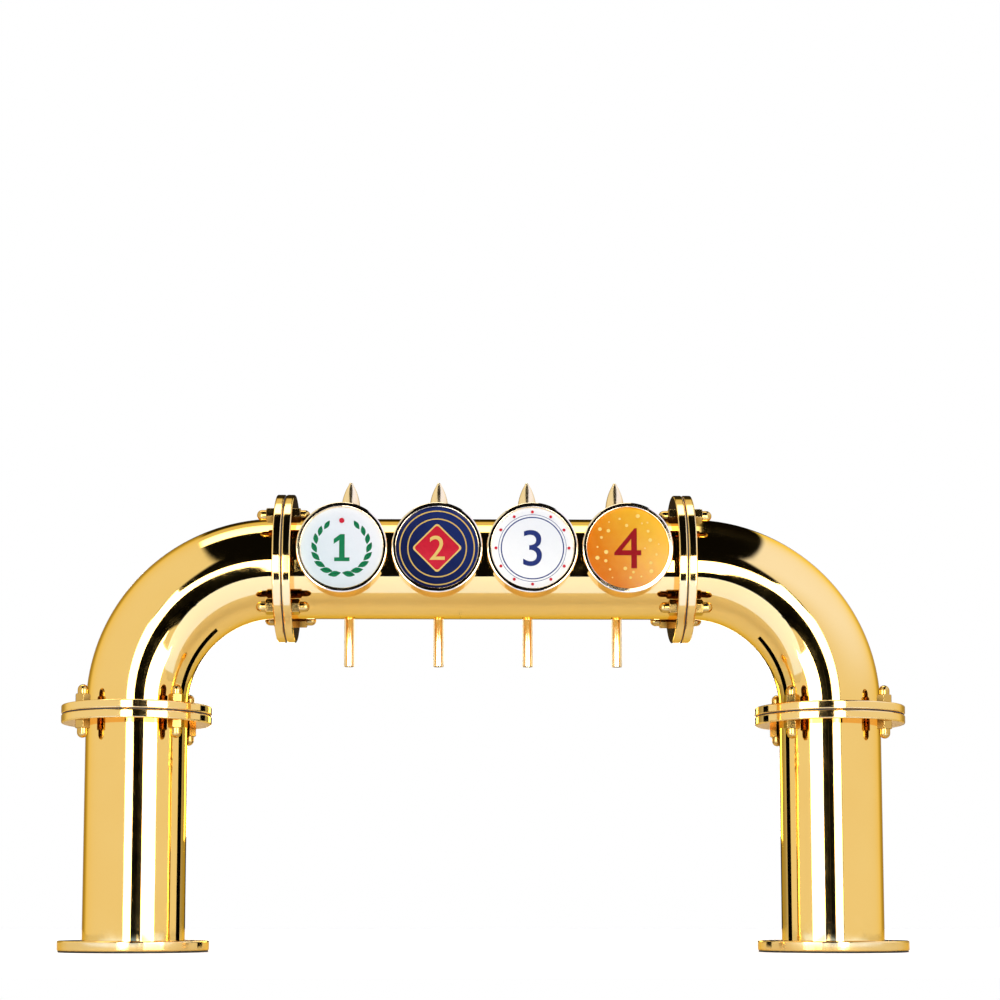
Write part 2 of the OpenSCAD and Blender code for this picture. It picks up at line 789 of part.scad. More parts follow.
// Tapered knob that ends in a blunt point
module tap_knob(i) {
    color(GOLD) at_tap(i) translate([0, lever_y, 0]) difference() {
        rotate_extrude() {
            intersection() {
                translate([knob_r - upper_arc_r, knob_wide_h]) circle(upper_arc_r, $fn = LONG_ARC);
                translate([0, knob_wide_h]) square([knob_r, knob_tip_z - knob_wide_h]);
            }
            intersection() {
                translate([knob_r - lower_arc_r, knob_wide_h]) circle(lower_arc_r, $fn = LONG_ARC);
                translate([0, knob_foot_h]) square([knob_r, knob_wide_h - knob_foot_h]);
            }
            intersection() {
                translate([0, knob_tip_z]) circle(knob_tip_r);
                translate([0, knob_tip_z]) square(knob_tip_r);
            }
        }
        translate([0, 0, knob_foot_h - cut]) cylinder(d = knob_thread_d, h = knob_thread + 2 * cut);
    }
}

// One line, from its tap's shank along the crossbar, round the elbow and down the leg
module beer_line(i) {
    x = abs(tap_x(i));
    y = lane(i);
    on_side(line_side(i)) {
        translate([0, 0, bar_z]) {
            translate([x, y + line_bend, 0]) to_back() pipe(line_r, line_ri, shank_end - y - line_bend);
            translate([x + line_bend, y + line_bend, 0]) rotate(180) rotate_extrude(angle = 90)
                translate([line_bend, 0]) ring(line_r, line_ri);
            translate([x + line_bend, y, 0]) to_right() pipe(line_r, line_ri, bend_x - x - line_bend);
        }
        translate([bend_x, y, bend_z]) quarter_bend(elbow_r, line_r, line_ri);
        translate([leg_x, y, line_end]) pipe(line_r, line_ri, bend_z - line_end);
    }
}

module beer_lines(side) {
    color("lightgray") for (i = TAPS) {
        if (line_side(i) == side) {
            beer_line(i);
        }
    }
}

module hose_clamps() {
    color(STEEL) for (i = TAPS) {
        at_tap(i) to_back() translate([0, 0, shank_end - clamp_gap - clamp_w])
            pipe(line_r + clamp_t, line_r, clamp_w);
    }
}

for (s = SIDES) {
    base_gasket(s[0]);
    base_flange(s[0]);
    leg_tube(s[0]);
    leg_flange(s[0]);
    elbow_tube(s[0]);
    elbow_lower_flange(s[0]);
    elbow_upper_flange(s[0]);
    bar_flange(s[0]);
    beer_lines(s[0]);
}
for (i = TAPS) {
    medallion_can(i);
    medallion_bezel(i);
    medallion_face(i);
    tap_body(i);
    tap_plunger(i);
    tap_lever(i);
    tap_knob(i);
}
crossbar_tube();
joint_gaskets();
joint_studs();
acorn_nuts();
light_boards();
can_nipples();
nipple_nuts();
saddle_washers();
tap_shanks();
shank_nuts();
coupling_nuts();
tap_spouts();
tap_bonnets();
hose_clamps();
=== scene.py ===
"""Looks of the bridge beer tower: finishes, printed medallion faces and a studio.

Metres, +Z up, in the frame of the solids: customers stand on the -Y side, the taps are on the +Y side.
"""

import json
import math

import bpy
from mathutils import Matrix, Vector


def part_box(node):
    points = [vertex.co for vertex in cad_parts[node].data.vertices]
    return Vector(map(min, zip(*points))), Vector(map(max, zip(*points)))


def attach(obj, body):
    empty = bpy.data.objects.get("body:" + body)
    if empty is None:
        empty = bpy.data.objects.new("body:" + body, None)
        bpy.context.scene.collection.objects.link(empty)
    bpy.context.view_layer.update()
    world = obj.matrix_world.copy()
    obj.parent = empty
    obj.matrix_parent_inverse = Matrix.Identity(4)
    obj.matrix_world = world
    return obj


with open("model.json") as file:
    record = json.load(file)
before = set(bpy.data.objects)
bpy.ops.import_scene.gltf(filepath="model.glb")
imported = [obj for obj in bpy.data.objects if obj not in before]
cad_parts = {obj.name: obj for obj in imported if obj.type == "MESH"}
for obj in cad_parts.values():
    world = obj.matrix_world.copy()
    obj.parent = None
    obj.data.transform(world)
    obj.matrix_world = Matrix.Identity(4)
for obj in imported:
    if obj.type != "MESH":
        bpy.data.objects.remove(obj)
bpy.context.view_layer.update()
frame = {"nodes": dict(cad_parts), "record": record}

MM = 0.001

# Camera: the photograph's frame is 1000 pixels square
FRAME_PX = 1000
CAMERA_DISTANCE = 1999.4 * MM
CAMERA_HEIGHT = 37.2 * MM
CAMERA_PITCH = 0.0925
CAMERA_TURN = 0.012
FOCAL_PX = 1987.8
CENTRE_X_PX = 484.0
CENTRE_Y_PX = 730.2
SENSOR = 36.0
CAMERA_PLACE = (
    -CAMERA_DISTANCE * math.sin(CAMERA_TURN),
    -CAMERA_DISTANCE * math.cos(CAMERA_TURN),
    CAMERA_HEIGHT,
)

# Printing on the medallion faces
RELIEF = 0.25 * MM
SUNK = 0.02 * MM
NUMBER_H = {1: 27 * MM, 2: 24 * MM, 3: 36 * MM, 4: 40 * MM}
WREATH_R = 27 * MM
LEAF_PAIRS = 8
LEAF_HALF = 6.5 * MM
LEAF_TAPER = 7.6 * MM
LEAF_LEAN = 0.45
BERRY_R = 2.6 * MM
LOZENGE_W = 50 * MM
LOZENGE_INNER_W = 46 * MM
LOZENGE_H = RELIEF * 1.6
DOT_RING_R = 36 * MM
DOTS = 12
DOT_R = 1.5 * MM
BUBBLES = 26
BUBBLE_TURN = 2.4

# Studio, in metres
FLOOR_SIZE = 4.0
FLOOR_Y = 1.2
FLOOR_LIFT = 0.45
FLOOR_GAP = 4 * MM
CARD_RADIANCE = 6.0
COOL = (0.16, 0.43, 1.6)

# Tones of the room that polished metal mirrors: brightness by degrees from straight ahead, up and over
DARK_TONE = 0.003
STRIP_TONE = 4.0
CEILING_TONE = 0.8
BACK_TONE = 0.03
ROOM_TONES = (
    (83, DARK_TONE),
    (87, STRIP_TONE),
    (108, STRIP_TONE),
    (112, CEILING_TONE),
    (128, CEILING_TONE),
    (134, BACK_TONE),
)
WALL_TONE = 0.88
BACK_WALL_TONE = 0.4
WINDOW_LIGHT = (1.0, 1.15, 2.0, 1)
# Directions, as parts of a unit vector: where the walls begin, by height, and how softly
WALL_LIMIT = 0.25
WALL_SLANT_UP = 0.51
WALL_SLANT_DOWN = -0.6
WALL_BLUR = 0.02
MATT_DIMMING = 0.6


def face_centre(tap):
    """Middle of the front of a medallion's face."""
    low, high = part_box(f"medallion_face_{tap}")
    return ((low.x + high.x) / 2, low.y, (low.z + high.z) / 2)


def face_radius():
    low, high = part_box("medallion_face_1")
    return (high.x - low.x) / 2


def srgb(hex_code):
    """A hex colour, as linear RGBA."""
    parts = [int(hex_code[i:i + 2], 16) / 255 for i in (1, 3, 5)]
    linear = [c / 12.92 if c <= 0.04045 else ((c + 0.055) / 1.055) ** 2.4 for c in parts]
    return (*linear, 1.0)


def node(tree, kind, settings=None, links=None):
    """Adds a node, sets its properties and input values, and links outputs to its inputs."""
    made = tree.nodes.new(kind)
    for key, value in (settings or {}).items():
        if isinstance(key, int) or key in made.inputs:
            made.inputs[key].default_value = value
        else:
            setattr(made, key, value)
    for key, output in (links or {}).items():
        tree.links.new(output, made.inputs[key])
    return made


def new_material(name):
    """An empty material, its tree and the Object coordinates of what it is on."""
    material = bpy.data.materials.new(name)
    material.use_nodes = True
    tree = material.node_tree
    tree.nodes.clear()
    coords = node(tree, "ShaderNodeTexCoord").outputs["Object"]
    return material, tree, coords


def finish_material(tree, settings, links):
    """Ends a tree in a Principled shader with these settings and links."""
    shader = node(tree, "ShaderNodeBsdfPrincipled", settings, links)
    node(tree, "ShaderNodeOutputMaterial", links={"Surface": shader.outputs["BSDF"]})


def polished_gold(name, pale, deep, smooth, hazy, sway, edge=0.0, painted_shade_reach=0.0):
    """Gold-toned brass, buffed to a mirror: crisp reflections that waver a little where the buff pressed
    unevenly, a faint haze of wiping marks, soft smudges, and slow drifts of tone in the gold layer. Where
    the piece has edges, they are broken by the buff and rubbed paler and smoother, a paler tone that is
    partly wear and partly a painted highlight. Within the given reach, painted shade darkens the metal to
    dark brown where other surfaces close it in."""
    material, tree, coords = new_material(name)
    drift = node(tree, "ShaderNodeTexNoise", {"Scale": 1 / (70 * MM), "Detail": 2.0}, {"Vector": coords})
    tone = node(tree, "ShaderNodeMix", {"data_type": "RGBA", 6: srgb(pale), 7: srgb(deep)},
                {0: drift.outputs["Fac"]}).outputs[2]
    wiped = node(tree, "ShaderNodeTexNoise", {"Scale": 1 / (9 * MM), "Detail": 6.0, "Roughness": 0.65},
                 {"Vector": coords})
    rough = node(tree, "ShaderNodeMapRange",
                 {"From Min": 0.35, "From Max": 0.75, "To Min": smooth, "To Max": hazy},
                 {"Value": wiped.outputs["Fac"]}).outputs["Result"]
    touched = node(tree, "ShaderNodeTexNoise", {"Scale": 1 / (28 * MM), "Detail": 3.0}, {"Vector": coords})
    smudge = node(tree, "ShaderNodeMapRange", {"From Min": 0.58, "From Max": 0.75, "To Max": 0.03},
                  {"Value": touched.outputs["Fac"]}).outputs["Result"]
    rough = node(tree, "ShaderNodeMath", {"operation": "ADD"}, {0: rough, 1: smudge}).outputs[0]
    buff = node(tree, "ShaderNodeTexNoise", {"Scale": 1 / (45 * MM), "Detail": 1.0}, {"Vector": coords})
    uneven = node(tree, "ShaderNodeBump", {"Strength": sway, "Distance": 1 * MM},
                  {"Height": buff.outputs["Fac"]})
    if edge:
        broken = node(tree, "ShaderNodeBevel", {"samples": 4, "Radius": edge}).outputs["Normal"]
        flat = node(tree, "ShaderNodeNewGeometry").outputs["Normal"]
        agree = node(tree, "ShaderNodeVectorMath", {"operation": "DOT_PRODUCT"}, {0: broken, 1: flat})
        # Edges are rubbed paler and smoother: the paler tone is partly wear and partly a painted highlight
        # along them
        worn_and_highlit = node(tree, "ShaderNodeMapRange", {"From Min": 0.99, "From Max": 0.85},
                    {"Value": agree.outputs["Value"]}).outputs["Result"]
        tone = node(tree, "ShaderNodeMix", {"data_type": "RGBA", 7: srgb("#FFE29A")},
                    {0: worn_and_highlit, 6: tone}).outputs[2]
        rough = node(tree, "ShaderNodeMix", {"data_type": "FLOAT", 3: smooth}, {0: worn_and_highlit, 2: rough}).outputs[0]
        tree.links.new(broken, uneven.inputs["Normal"])
    # Painted shade: by ambient occlusion within the reach, the gold is darkened to dark brown where other
    # surfaces close it in, as on the backs of the nuts that face the tube
    if painted_shade_reach:
        open_side = node(tree, "ShaderNodeAmbientOcclusion",
                         {"samples": 16, "Distance": painted_shade_reach}).outputs["AO"]
        unshaded_share = node(tree, "ShaderNodeMapRange", {"From Min": 0.35, "From Max": 0.65},
                            {"Value": open_side}).outputs["Result"]
        tone = node(tree, "ShaderNodeMix", {"data_type": "RGBA", 6: srgb("#3A2208")},
                    {0: unshaded_share, 7: tone}).outputs[2]
    finish_material(tree, {"Metallic": 1.0, "Specular Tint": srgb(pale)}, {
        "Base Color": tone,
        "Roughness": rough,
        "Normal": uneven.outputs["Normal"],
    })
    return material


def turned_steel():
    """Turned stainless steel: grey, satin, with the tool's fine rings round it. The rings are drawn three
    times as coarse as a real 0.3 mm feed, so that they show."""
    material, tree, coords = new_material("turned_stainless_steel")
    rings = node(tree, "ShaderNodeTexWave", {
        "bands_direction": "Y", "Scale": 2 * math.pi / (20 * 0.9 * MM), "Distortion": 0.4, "Detail": 1.0,
    }, {"Vector": coords}).outputs["Fac"]
    stain = node(tree, "ShaderNodeTexNoise", {"Scale": 1 / (12 * MM), "Detail": 4.0}, {"Vector": coords})
    tone = node(tree, "ShaderNodeMix", {"data_type": "RGBA", 6: srgb("#CFCFD1"), 7: srgb("#B4B2AE")},
                {0: stain.outputs["Fac"]})
    rough = node(tree, "ShaderNodeMapRange", {"To Min": 0.18, "To Max": 0.30}, {"Value": rings})
    grooves = node(tree, "ShaderNodeBump", {"Strength": 0.25, "Distance": 0.05 * MM}, {"Height": rings})
    finish_material(tree, {"Metallic": 1.0}, {
        "Base Color": tone.outputs[2],
        "Roughness": rough.outputs["Result"],
        "Normal": grooves.outputs["Normal"],
    })
    return material


def sheet_rubber():
    """Black sheet rubber: matt, with a fine pressed grain and a bloom of grey dust."""
    material, tree, coords = new_material("black_sheet_rubber")
    grain = node(tree, "ShaderNodeTexNoise", {"Scale": 1 / (0.6 * MM), "Detail": 2.0}, {"Vector": coords})
    bloom = node(tree, "ShaderNodeTexNoise", {"Scale": 1 / (15 * MM), "Detail": 5.0}, {"Vector": coords})
    tone = node(tree, "ShaderNodeMix", {"data_type": "RGBA", 6: srgb("#121213"), 7: srgb("#323233")},
                {0: bloom.outputs["Fac"]})
    rough = node(tree, "ShaderNodeMapRange", {"To Min": 0.62, "To Max": 0.88},
                 {"Value": bloom.outputs["Fac"]})
    pressed = node(tree, "ShaderNodeBump", {"Strength": 0.4, "Distance": 0.1 * MM},
                   {"Height": grain.outputs["Fac"]})
    finish_material(tree, {"IOR": 1.52}, {
        "Base Color": tone.outputs[2],
        "Roughness": rough.outputs["Result"],
        "Normal": pressed.outputs["Normal"],
    })
    return material


def extruded_polyethylene():
    """Natural polyethylene tube: milky, waxy and a little cloudy, so light spreads in its wall."""
    material, tree, coords = new_material("natural_polyethylene")
    cloud = node(tree, "ShaderNodeTexNoise", {"Scale": 1 / (8 * MM), "Detail": 4.0}, {"Vector": coords})
    tone = node(tree, "ShaderNodeMix", {"data_type": "RGBA", 6: srgb("#E6EAE8"), 7: srgb("#CDD5D4")},
                {0: cloud.outputs["Fac"]})
    rough = node(tree, "ShaderNodeMapRange", {"To Min": 0.28, "To Max": 0.42},
                 {"Value": cloud.outputs["Fac"]})
    drawn = node(tree, "ShaderNodeBump", {"Strength": 0.1, "Distance": 0.2 * MM},
                 {"Height": cloud.outputs["Fac"]})
    finish_material(tree, {"IOR": 1.51, "Subsurface Weight": 0.3, "Subsurface Scale": 1.5 * MM}, {
        "Base Color": tone.outputs[2],
        "Roughness": rough.outputs["Result"],
        "Normal": drawn.outputs["Normal"],
    })
    return material


def solder_mask():
    """Green solder mask on a light board: glossy lacquer over rows of copper, which show as paler, raised
    bars."""
    material, tree, coords = new_material("green_solder_mask")
    upright = node(tree, "ShaderNodeMapping", {"Rotation": (math.pi / 2, 0, 0)}, {"Vector": coords})
    copper = node(tree, "ShaderNodeTexBrick", {
        "Color1": srgb("#2C7A49"), "Color2": srgb("#35854F"), "Mortar": srgb("#17502F"), "Scale": 1.0,
        "Mortar Size": 0.5 * MM, "Brick Width": 11 * MM, "Row Height": 5 * MM,
    }, {"Vector": upright.outputs["Vector"]})
    flow = node(tree, "ShaderNodeTexNoise", {"Scale": 1 / (6 * MM), "Detail": 2.0}, {"Vector": coords})
    rough = node(tree, "ShaderNodeMapRange", {"To Min": 0.22, "To Max": 0.4}, {"Value": flow.outputs["Fac"]})
    raised = node(tree, "ShaderNodeBump", {"Strength": 0.5, "Distance": 0.05 * MM, "invert": True},
                  {"Height": copper.outputs["Fac"]})
    finish_material(tree, {"IOR": 1.55}, {
        "Base Color": copper.outputs["Color"],
        "Roughness": rough.outputs["Result"],
        "Normal": raised.outputs["Normal"],
    })
    return material


def printed_acrylic(name, tap, sweep, sweep_turn, bands):
    """Clear acrylic disc, printed from behind: a glossy front over a sweep of two inks and some rings, with
    the print's dots drawn four times as coarse as the real 0.3 mm screen so that they show. Bands are
    (share of the radius at which a ring starts, its ink, or nothing where the sweep shows)."""
    material, tree, coords = new_material(name)
    x, y, z = face_centre(tap)
    scale = 1 / face_radius()
    middle = node(tree, "ShaderNodeMapping", {
        "Location": (-x * scale, 0, -z * scale), "Scale": (scale, 0, scale),
    }, {"Vector": coords}).outputs["Vector"]
    turned = node(tree, "ShaderNodeMapping", {"Rotation": (0, sweep_turn, 0)}, {"Vector": middle})
    along = node(tree, "ShaderNodeSeparateXYZ", links={"Vector": turned.outputs["Vector"]}).outputs["X"]
    share = node(tree, "ShaderNodeMapRange", {
        "interpolation_type": "SMOOTHSTEP", "From Min": -0.9, "From Max": 0.9,
    }, {"Value": along}).outputs["Result"]
    cloud = node(tree, "ShaderNodeTexNoise", {"Scale": 1 / (7 * MM), "Detail": 4.0}, {"Vector": coords})
    patchy = node(tree, "ShaderNodeMath", {"operation": "MULTIPLY_ADD", 1: 0.35, 2: -0.17},
                  {0: cloud.outputs["Fac"]}).outputs[0]
    mixed = node(tree, "ShaderNodeMath", {"operation": "ADD", "use_clamp": True},
                 {0: share, 1: patchy}).outputs[0]
    under = node(tree, "ShaderNodeMix", {"data_type": "RGBA", 6: srgb(sweep[0]), 7: srgb(sweep[1])},
                 {0: mixed})
    out = node(tree, "ShaderNodeVectorMath", {"operation": "LENGTH"}, {0: middle}).outputs["Value"]
    rings = node(tree, "ShaderNodeValToRGB", links={"Fac": out})
    rings.color_ramp.interpolation = "CONSTANT"
    steps = rings.color_ramp.elements
    steps.remove(steps[1])
    for start, ink in bands:
        step = steps[0] if start == 0 else steps.new(start)
        step.color = srgb(ink) if ink else (0, 0, 0, 0)
    tone = node(tree, "ShaderNodeMix", {"data_type": "RGBA"}, {
        0: rings.outputs["Alpha"], 6: under.outputs[2], 7: rings.outputs["Color"],
    })
    dots = node(tree, "ShaderNodeTexVoronoi", {"Scale": 1 / (1.2 * MM), "Randomness": 0.25},
                {"Vector": coords})
    screen = node(tree, "ShaderNodeMapRange", {"To Min": 1.0, "To Max": 0.93},
                  {"Value": dots.outputs["Distance"]})
    ink = node(tree, "ShaderNodeMix", {"data_type": "RGBA", "blend_type": "MULTIPLY", 0: 1.0}, {
        6: tone.outputs[2], 7: screen.outputs["Result"],
    })
    rough = node(tree, "ShaderNodeMapRange", {"To Min": 0.06, "To Max": 0.16},
                 {"Value": cloud.outputs["Fac"]})
    cast = node(tree, "ShaderNodeBump", {"Strength": 0.05, "Distance": 0.3 * MM},
                {"Height": cloud.outputs["Fac"]})
    finish_material(tree, {"IOR": 1.49, "Specular IOR Level": 0.3}, {
        "Base Color": ink.outputs[2],
        "Roughness": rough.outputs["Result"],
        "Normal": cast.outputs["Normal"],
    })
    return material


def raised_ink(name, light, dark):
    """Screen ink laid on thick: satin, a little uneven in tone, with the mesh's fine orange peel."""
    material, tree, coords = new_material(name)
    flow = node(tree, "ShaderNodeTexNoise", {"Scale": 1 / (5 * MM), "Detail": 3.0}, {"Vector": coords})
    tone = node(tree, "ShaderNodeMix", {"data_type": "RGBA", 6: srgb(light), 7: srgb(dark)},
                {0: flow.outputs["Fac"]})
    peel = node(tree, "ShaderNodeTexNoise", {"Scale": 1 / (0.8 * MM), "Detail": 2.0}, {"Vector": coords})
    rough = node(tree, "ShaderNodeMapRange", {"To Min": 0.35, "To Max": 0.5}, {"Value": flow.outputs["Fac"]})
    skin = node(tree, "ShaderNodeBump", {"Strength": 0.2, "Distance": 0.05 * MM},
                {"Height": peel.outputs["Fac"]})
    finish_material(tree, {"IOR": 1.5, "Specular IOR Level": 0.06}, {
        "Base Color": tone.outputs[2],
        "Roughness": rough.outputs["Result"],
        "Normal": skin.outputs["Normal"],
    })
    return material


def matt_paper():
    """Studio paper: white, matt, with a faint mottle of its fibres. It is lifted a little where it is seen
    directly."""
    material, tree, coords = new_material("matt_white_paper")
    fibre = node(tree, "ShaderNodeTexNoise", {"Scale": 1 / (40 * MM), "Detail": 6.0}, {"Vector": coords})
    tone = node(tree, "ShaderNodeMix", {"data_type": "RGBA", 6: srgb("#F6F6F5"), 7: srgb("#F2F2F1")},
                {0: fibre.outputs["Fac"]})
    rough = node(tree, "ShaderNodeMapRange", {"To Min": 0.85, "To Max": 0.95},
                 {"Value": fibre.outputs["Fac"]})
    seen = node(tree, "ShaderNodeLightPath").outputs["Is Camera Ray"]
    lit = node(tree, "ShaderNodeMath", {"operation": "MULTIPLY", 1: FLOOR_LIFT}, {0: seen}).outputs[0]
    finish_material(tree, {"Emission Color": srgb("#FFFFFF")}, {
        "Base Color": tone.outputs[2],
        "Roughness": rough.outputs["Result"],
        "Emission Strength": lit,
    })
    return material


GREEN_INK = raised_ink("green_screen_ink", "#11804F", "#0B6A40")
RED_INK = raised_ink("red_screen_ink", "#D4243A", "#B81A2E")
GOLD_INK = raised_ink("gold_screen_ink", "#E9CB7C", "#D6B15A")
NAVY_INK = raised_ink("navy_screen_ink", "#27367A", "#1C2862")
DARK_RED_INK = raised_ink("dark_red_screen_ink", "#9E0412", "#860310")
CLEAR_INK = raised_ink("pale_amber_gel_ink", "#FBE08A", "#F3C653")

FINISHES = {
    "tube_gold": polished_gold("buffed_gold_tube", "#FFD67F", "#FBCD72", smooth=0.03, hazy=0.07, sway=0.04),
    "flange_gold": polished_gold("buffed_gold_plate", "#FFDA8C", "#FAD07E", smooth=0.05, hazy=0.10, sway=0.03,
                                 edge=0.6 * MM),
    # The nuts take painted shade: darkened where other surfaces lie within 30 mm
    "nut_gold": polished_gold("satin_gold_nut", "#E2B866", "#CFA252", smooth=0.12, hazy=0.22, sway=0.03,
                              edge=0.4 * MM, painted_shade_reach=30 * MM),
    "can_gold": polished_gold("spun_gold_can", "#FFEDC8", "#FBE3B4", smooth=0.04, hazy=0.09, sway=0.03,
                              edge=0.3 * MM),
    "tap_gold": polished_gold("satin_gold_casting", "#FFE9BE", "#F9DFAC", smooth=0.14, hazy=0.22, sway=0.05,
                              edge=0.5 * MM),
    "knob_gold": polished_gold("satin_gold_knob", "#FFE4AC", "#FBD998", smooth=0.20, hazy=0.27, sway=0.03),
    "fitting_steel": turned_steel(),
    "seal_rubber": sheet_rubber(),
    "line_plastic": extruded_polyethylene(),
    "board_green": solder_mask(),
    "face_1": printed_acrylic("printed_acrylic_pale", 1, ("#DCE8EE", "#EEF1F7"), 0.6,
                              ((0, None), (0.94, "#FBFDFE"))),
    "face_2": printed_acrylic("printed_acrylic_navy", 2, ("#141D49", "#1C2B66"), 0.8,
                              ((0, None), (0.66, "#D9B660"), (0.685, None), (0.84, "#D9B660"), (0.87, None))),
    "face_3": printed_acrylic("printed_acrylic_white", 3, ("#FFFFFF", "#F1F3F8"), 1.2,
                              ((0, None), (0.70, "#2A3A80"), (0.73, None), (0.77, "#2A3A80"), (0.785, None))),
    "face_4": printed_acrylic("printed_acrylic_amber", 4, ("#DE7606", "#F2B828"), 0.5,
                              ((0, None), (0.95, "#F9EFD3"))),
}


def dress_nodes():
    """Gives every solid the finish of its slot."""
    for part in frame["record"]["subparts"]:
        solid = frame["nodes"][part["node"]]
        solid.data.materials.clear()
        solid.data.materials.append(FINISHES[part["material_slot"]])


def pick_faces(piece, test):
    """In edit mode, selects just the faces that pass the test."""
    bpy.ops.object.mode_set(mode="OBJECT")
    for corner in piece.data.vertices:
        corner.select = False
    for line in piece.data.edges:
        line.select = False
    for face in piece.data.polygons:
        face.select = test(face)
    bpy.ops.object.mode_set(mode="EDIT")


def close_shape():
    """In edit mode, merges doubles, turns all faces outwards and goes back to object mode."""
    bpy.ops.mesh.select_all(action="SELECT")
    bpy.ops.mesh.remove_doubles(threshold=0.001 * MM)
    bpy.ops.mesh.normals_make_consistent(inside=False)
    bpy.ops.object.mode_set(mode="OBJECT")


def copies_on_face(piece, tap, spots):
    """Stands copies of a flat-lying piece on a face and joins them.

    A spot is (radius, angle, turn, scale)."""
    x, y, z = face_centre(tap)
    made = []
    for radius, angle, turn, scale in spots:
        bpy.ops.object.select_all(action="DESELECT")
        piece.select_set(True)
        bpy.context.view_layer.objects.active = piece
        bpy.ops.object.duplicate()
        copy = bpy.context.object
        copy.scale = (scale, scale, 1)
        copy.rotation_euler = (math.pi / 2, -turn, 0)
        copy.location = (x + radius * math.cos(angle), y + SUNK, z + radius * math.sin(angle))
        made.append(copy)
    bpy.data.objects.remove(piece)
    bpy.ops.object.select_all(action="DESELECT")
    for copy in made:
        copy.select_set(True)
    bpy.context.view_layer.objects.active = made[0]
    bpy.ops.object.join()
    return bpy.context.object


def settle(piece, name, ink):
    """Puts a piece's place in its mesh, dresses it, and lets it ride on the bridge."""
    bpy.ops.object.select_all(action="DESELECT")
    piece.select_set(True)
    bpy.context.view_layer.objects.active = piece
    bpy.ops.object.transform_apply(location=True, rotation=True, scale=True)
    bpy.ops.object.shade_smooth_by_angle(angle=math.radians(35))
    piece.name = name
    piece.data.materials.clear()
    piece.data.materials.append(ink)
    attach(piece, "bridge")


def leaf():
    """A pointed oval leaf that rises to a low ridge, lying flat along +X."""
    bpy.ops.mesh.primitive_circle_add(vertices=20, radius=LEAF_HALF, fill_type="NGON")
    piece = bpy.context.object
    for corner in piece.data.vertices:
        corner.co.y *= 0.45 * (1 - (corner.co.x / LEAF_TAPER) ** 2)
    bpy.ops.object.mode_set(mode="EDIT")
    bpy.ops.mesh.select_all(action="SELECT")
    bpy.ops.mesh.extrude_region_move(TRANSFORM_OT_translate={"value": (0, 0, RELIEF / 2)})
    pick_faces(piece, lambda face: face.center.z > RELIEF * 0.4 and face.normal.z ** 2 > 0.5)
    bpy.ops.mesh.inset(thickness=0.7 * MM, depth=RELIEF / 2)
    close_shape()
    return piece


def dome(radius, height):
    """A low dome that lies flat on its cut face."""
    bpy.ops.mesh.primitive_uv_sphere_add(segments=20, ring_count=12, radius=radius)
    piece = bpy.context.object
    bpy.ops.object.mode_set(mode="EDIT")
    bpy.ops.mesh.select_all(action="SELECT")
    bpy.ops.mesh.bisect(plane_co=(0, 0, 0), plane_no=(0, 0, 1), clear_inner=True, use_fill=True)
    bpy.ops.mesh.select_all(action="SELECT")
    bpy.ops.transform.resize(value=(1, 1, height / radius))
    close_shape()
    return piece


def lozenge(width, height, thick):
    """A flat lozenge with rounded corners and a bevelled rim."""
    bpy.ops.mesh.primitive_circle_add(vertices=4, radius=width / 2, fill_type="NGON")
    piece = bpy.context.object
    bpy.ops.object.mode_set(mode="EDIT")
    bpy.ops.mesh.select_all(action="SELECT")
    bpy.ops.transform.resize(value=(1, height / width, 1))
    bpy.ops.mesh.bevel(offset=3 * MM, segments=5, affect="VERTICES")
    bpy.ops.mesh.select_all(action="SELECT")
    bpy.ops.mesh.extrude_region_move(TRANSFORM_OT_translate={"value": (0, 0, thick * 0.6)})
    pick_faces(piece, lambda face: face.center.z > thick * 0.5 and face.normal.z ** 2 > 0.5)
    bpy.ops.mesh.inset(thickness=0.3 * MM, depth=thick * 0.4)
    close_shape()
    return piece


def flagged_one():
    """A number one with a flag and a foot, one unit high, lying flat."""
    outline = (
        (-0.28, 0), (0.28, 0), (0.28, 0.14), (0.10, 0.14), (0.10, 1), (-0.06, 1),
        (-0.30, 0.82), (-0.30, 0.64), (-0.10, 0.78), (-0.10, 0.14), (-0.28, 0.14),
    )
    bpy.ops.mesh.primitive_circle_add(vertices=len(outline), radius=1, fill_type="NGON")
    piece = bpy.context.object
    for corner, (x, y) in zip(piece.data.vertices, outline):
        corner.co = (x, y, -RELIEF / 2)
    bpy.ops.object.mode_set(mode="EDIT")
    bpy.ops.mesh.select_all(action="SELECT")
    bpy.ops.mesh.extrude_region_move(TRANSFORM_OT_translate={"value": (0, 0, RELIEF)})
    return piece


def set_digit(tap):
    """A digit in the plain built-in letter, lying flat."""
    bpy.ops.object.text_add()
    piece = bpy.context.object
    piece.data.body = str(tap)
    piece.data.extrude = RELIEF / 2
    piece.data.resolution_u = 8
    bpy.ops.object.convert(target="MESH")
    bpy.ops.object.mode_set(mode="EDIT")
    return bpy.context.object


def number(tap, ink, lift=0.0):
    """A raised number in the middle of a face."""
    x, y, z = face_centre(tap)
    bpy.ops.object.select_all(action="DESELECT")
    piece = flagged_one() if tap == 1 else set_digit(tap)
    close_shape()
    bpy.ops.object.origin_set(type="ORIGIN_GEOMETRY", center="BOUNDS")
    scale = NUMBER_H[tap] / piece.dimensions.y
    piece.scale = (scale, scale, 1)
    piece.rotation_euler = (math.pi / 2, 0, 0)
    piece.location = (x, y + SUNK - lift - RELIEF / 2, z)
    settle(piece, f"number_{tap}", ink)


